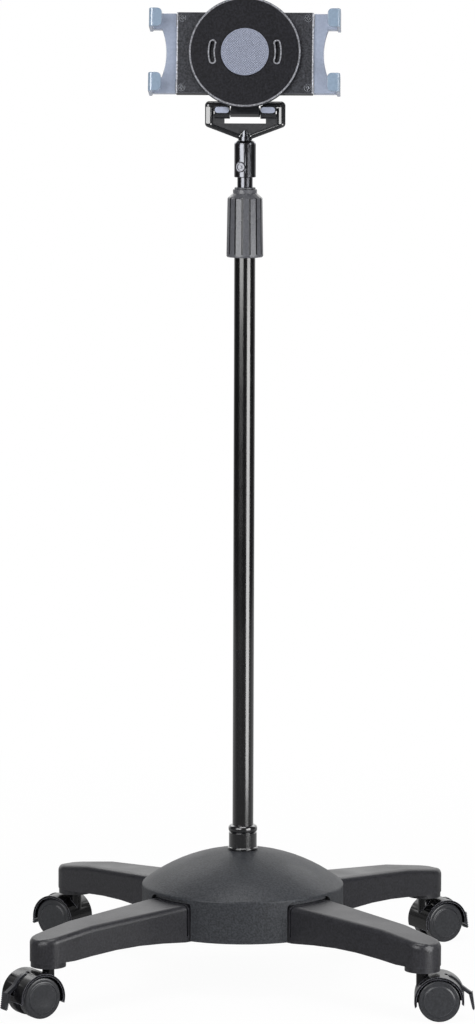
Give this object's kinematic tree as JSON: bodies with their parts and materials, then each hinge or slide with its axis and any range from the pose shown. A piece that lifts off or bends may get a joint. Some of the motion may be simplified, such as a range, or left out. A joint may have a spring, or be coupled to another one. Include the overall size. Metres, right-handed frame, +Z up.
{
  "type": "tablet floor stand",
  "caption": "Rolling floor stand for a tablet: domed four-leg base on locking twin-wheel casters, telescoping pole with twist clutch, and a tilting, turning clip holder.",
  "frame": {"origin": "on the floor under the pole's axis, at the middle of the base", "axes": "+Z up along the pole, -Y towards the user, the way the tablet faces, +X to the user's right"},
  "size_m": [0.4849, 0.4622, 1.0322],
  "materials": {
    "cast_hub": "as cast",
    "hub_paint": "satin black powder coat",
    "zinc_steel": "zinc plated",
    "nylon": "natural moulded nylon",
    "gloss_black": "gloss moulded",
    "pole_paint": "gloss black",
    "clutch_plastic": "moulded",
    "grip_plastic": "satin moulded",
    "black_chrome": "black chrome plated",
    "yoke_paint": "gloss black",
    "cap_plastic": "grey moulded",
    "holder_plastic": "fine texture",
    "plate_plastic": "fine texture",
    "disc_plastic": "fine texture",
    "screw_steel": "bright zinc",
    "arm_plastic": "grey moulded",
    "pad_rubber": "ribbed grip",
    "leg_plastic": "grained moulding",
    "hood_plastic": "gloss moulded",
    "wheel_plastic": "moulded nylon",
    "lever_plastic": "ribbed moulding"
  },
  "bodies": {
    "base": {"hub_core": "cast_hub", "hub_cover": "hub_paint", "leg_bolts": "zinc_steel", "stem_sleeves": "nylon", "pole_ferrule": "gloss_black", "pole_plug": "zinc_steel", "pole_nut": "zinc_steel", "pole": "pole_paint", "clutch_base": "clutch_plastic", "clutch_collet": "nylon", "leg_front_left": "leg_plastic", "leg_front_right": "leg_plastic", "leg_rear_left": "leg_plastic", "leg_rear_right": "leg_plastic", "caster_stem_front_left": "zinc_steel", "caster_stem_front_right": "zinc_steel", "caster_stem_rear_left": "zinc_steel", "caster_stem_rear_right": "zinc_steel"},
    "clutch": {"clutch_grip": "grip_plastic"},
    "mast": {"rod": "black_chrome", "rod_bush": "nylon", "head_socket": "black_chrome", "socket_screw": "black_chrome"},
    "yoke": {"yoke": "yoke_paint", "yoke_post": "black_chrome", "hinge_pin": "zinc_steel", "hinge_caps": "cap_plastic"},
    "bracket": {"tilt_bracket": "holder_plastic", "turn_washer": "nylon"},
    "holder": {"turn_bolt": "zinc_steel", "holder_back": "holder_plastic", "holder_front": "plate_plastic", "holder_screws": "screw_steel", "arm_spring": "zinc_steel", "front_disc": "disc_plastic", "grip_pad": "pad_rubber"},
    "arm_left": {"arm_left": "arm_plastic"},
    "arm_right": {"arm_right": "arm_plastic"},
    "caster_front_left": {"caster_body_front_left": "hood_plastic", "axle_front_left": "zinc_steel"},
    "wheel_a_front_left": {"wheel_a_front_left": "wheel_plastic"},
    "wheel_b_front_left": {"wheel_b_front_left": "wheel_plastic"},
    "brake_front_left": {"brake_lever_front_left": "lever_plastic"},
    "caster_front_right": {"caster_body_front_right": "hood_plastic", "axle_front_right": "zinc_steel"},
    "wheel_a_front_right": {"wheel_a_front_right": "wheel_plastic"},
    "wheel_b_front_right": {"wheel_b_front_right": "wheel_plastic"},
    "brake_front_right": {"brake_lever_front_right": "lever_plastic"},
    "caster_rear_left": {"caster_body_rear_left": "hood_plastic", "axle_rear_left": "zinc_steel"},
    "wheel_a_rear_left": {"wheel_a_rear_left": "wheel_plastic"},
    "wheel_b_rear_left": {"wheel_b_rear_left": "wheel_plastic"},
    "brake_rear_left": {"brake_lever_rear_left": "lever_plastic"},
    "caster_rear_right": {"caster_body_rear_right": "hood_plastic", "axle_rear_right": "zinc_steel"},
    "wheel_a_rear_right": {"wheel_a_rear_right": "wheel_plastic"},
    "wheel_b_rear_right": {"wheel_b_rear_right": "wheel_plastic"},
    "brake_rear_right": {"brake_lever_rear_right": "lever_plastic"}
  },
  "joints": [
    {"name": "rod_slide", "type": "slide", "parent": "base", "child": "mast", "axis": [0, 0, 1], "range_m": [0, 0.4]},
    {"name": "clutch_twist", "type": "hinge", "parent": "base", "child": "clutch", "pos_m": [0, 0, 0.8], "axis": [0, 0, 1], "range_deg": [-60, 120]},
    {"name": "head_pan", "type": "hinge", "parent": "mast", "child": "yoke", "pos_m": [0, 0, 0.88269], "axis": [0, 0, 1], "continuous": true},
    {"name": "head_tilt", "type": "hinge", "parent": "yoke", "child": "bracket", "pos_m": [0, 0, 0.91268], "axis": [-1, 0, 0], "range_deg": [-14, 60]},
    {"name": "holder_turn", "type": "hinge", "parent": "bracket", "child": "holder", "pos_m": [0, -0.01406, 0.97493], "axis": [0, -0.9703, 0.2419], "continuous": true},
    {"name": "arm_left_slide", "type": "slide", "parent": "holder", "child": "arm_left", "axis": [-1, 0, 0], "range_m": [0, 0.036], "stiffness_N_per_m": 250, "springref_m": -0.03, "deforming": ["arm_spring"]},
    {"name": "arm_right_slide", "type": "slide", "parent": "holder", "child": "arm_right", "axis": [1, 0, 0], "range_m": [0, 0.036], "stiffness_N_per_m": 250, "springref_m": -0.03, "deforming": ["arm_spring"]},
    {"name": "swivel_front_left", "type": "hinge", "parent": "base", "child": "caster_front_left", "pos_m": [-0.19092, -0.19092, 0.05], "axis": [0, 0, 1], "continuous": true},
    {"name": "wheel_a_spin_front_left", "type": "hinge", "parent": "caster_front_left", "child": "wheel_a_front_left", "pos_m": [-0.20525, -0.20096, 0.0215], "axis": [0.5736, -0.8192, 0], "continuous": true},
    {"name": "wheel_b_spin_front_left", "type": "hinge", "parent": "caster_front_left", "child": "wheel_b_front_left", "pos_m": [-0.20525, -0.20096, 0.0215], "axis": [0.5736, -0.8192, 0], "continuous": true},
    {"name": "brake_press_front_left", "type": "hinge", "parent": "caster_front_left", "child": "brake_front_left", "pos_m": [-0.21358, -0.20679, 0.03582], "axis": [0.5736, -0.8192, 0], "range_deg": [0, 12]},
    {"name": "swivel_front_right", "type": "hinge", "parent": "base", "child": "caster_front_right", "pos_m": [0.19092, -0.19092, 0.05], "axis": [0, 0, 1], "continuous": true},
    {"name": "wheel_a_spin_front_right", "type": "hinge", "parent": "caster_front_right", "child": "wheel_a_front_right", "pos_m": [0.20842, -0.19092, 0.0215], "axis": [0, 1, 0], "continuous": true},
    {"name": "wheel_b_spin_front_right", "type": "hinge", "parent": "caster_front_right", "child": "wheel_b_front_right", "pos_m": [0.20842, -0.19092, 0.0215], "axis": [0, 1, 0], "continuous": true},
    {"name": "brake_press_front_right", "type": "hinge", "parent": "caster_front_right", "child": "brake_front_right", "pos_m": [0.21858, -0.19092, 0.03582], "axis": [0, 1, 0], "range_deg": [0, 12]},
    {"name": "swivel_rear_left", "type": "hinge", "parent": "base", "child": "caster_rear_left", "pos_m": [-0.19092, 0.19092, 0.05], "axis": [0, 0, 1], "continuous": true},
    {"name": "wheel_a_spin_rear_left", "type": "hinge", "parent": "caster_rear_left", "child": "wheel_a_rear_left", "pos_m": [-0.20607, 0.19967, 0.0215], "axis": [-0.5, -0.866, 0], "continuous": true},
    {"name": "wheel_b_spin_rear_left", "type": "hinge", "parent": "caster_rear_left", "child": "wheel_b_rear_left", "pos_m": [-0.20607, 0.19967, 0.0215], "axis": [-0.5, -0.866, 0], "continuous": true},
    {"name": "brake_press_rear_left", "type": "hinge", "parent": "caster_rear_left", "child": "brake_rear_left", "pos_m": [-0.21488, 0.20475, 0.03582], "axis": [-0.5, -0.866, 0], "range_deg": [0, 12]},
    {"name": "swivel_rear_right", "type": "hinge", "parent": "base", "child": "caster_rear_right", "pos_m": [0.19092, 0.19092, 0.05], "axis": [0, 0, 1], "continuous": true},
    {"name": "wheel_a_spin_rear_right", "type": "hinge", "parent": "caster_rear_right", "child": "wheel_a_rear_right", "pos_m": [0.20607, 0.19967, 0.0215], "axis": [-0.5, 0.866, 0], "continuous": true},
    {"name": "wheel_b_spin_rear_right", "type": "hinge", "parent": "caster_rear_right", "child": "wheel_b_rear_right", "pos_m": [0.20607, 0.19967, 0.0215], "axis": [-0.5, 0.866, 0], "continuous": true},
    {"name": "brake_press_rear_right", "type": "hinge", "parent": "caster_rear_right", "child": "brake_rear_right", "pos_m": [0.21488, 0.20475, 0.03582], "axis": [-0.5, 0.866, 0], "range_deg": [0, 12]}
  ]
}
